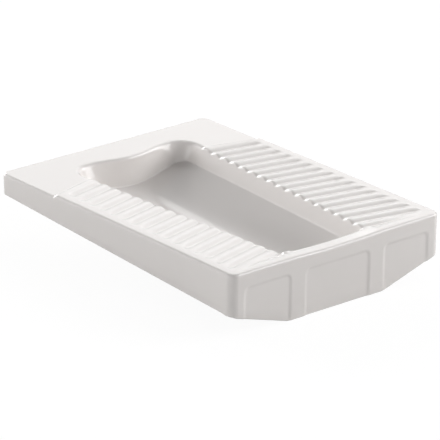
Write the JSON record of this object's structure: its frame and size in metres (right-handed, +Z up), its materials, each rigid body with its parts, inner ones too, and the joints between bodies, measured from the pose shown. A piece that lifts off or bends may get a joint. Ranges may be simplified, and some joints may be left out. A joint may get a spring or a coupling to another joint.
{
  "type": "squat toilet pan",
  "caption": "Flat glazed-ceramic squat toilet pan with ribbed foot treads, a tapering bowl, deepening skirts and a bottom outlet with a rubber seal.",
  "frame": {"origin": "on the ground under the middle of the pan's length and width", "axes": "+X from the head end to the outlet end, +Y across the pan, +Z up"},
  "size_m": [0.6, 0.45, 0.108],
  "materials": {
    "glazed_china": "glossy white glaze",
    "seal_rubber": "matte black rubber"
  },
  "bodies": {
    "root": {"pan": "glazed_china", "outlet_seal": "seal_rubber"}
  },
  "joints": []
}
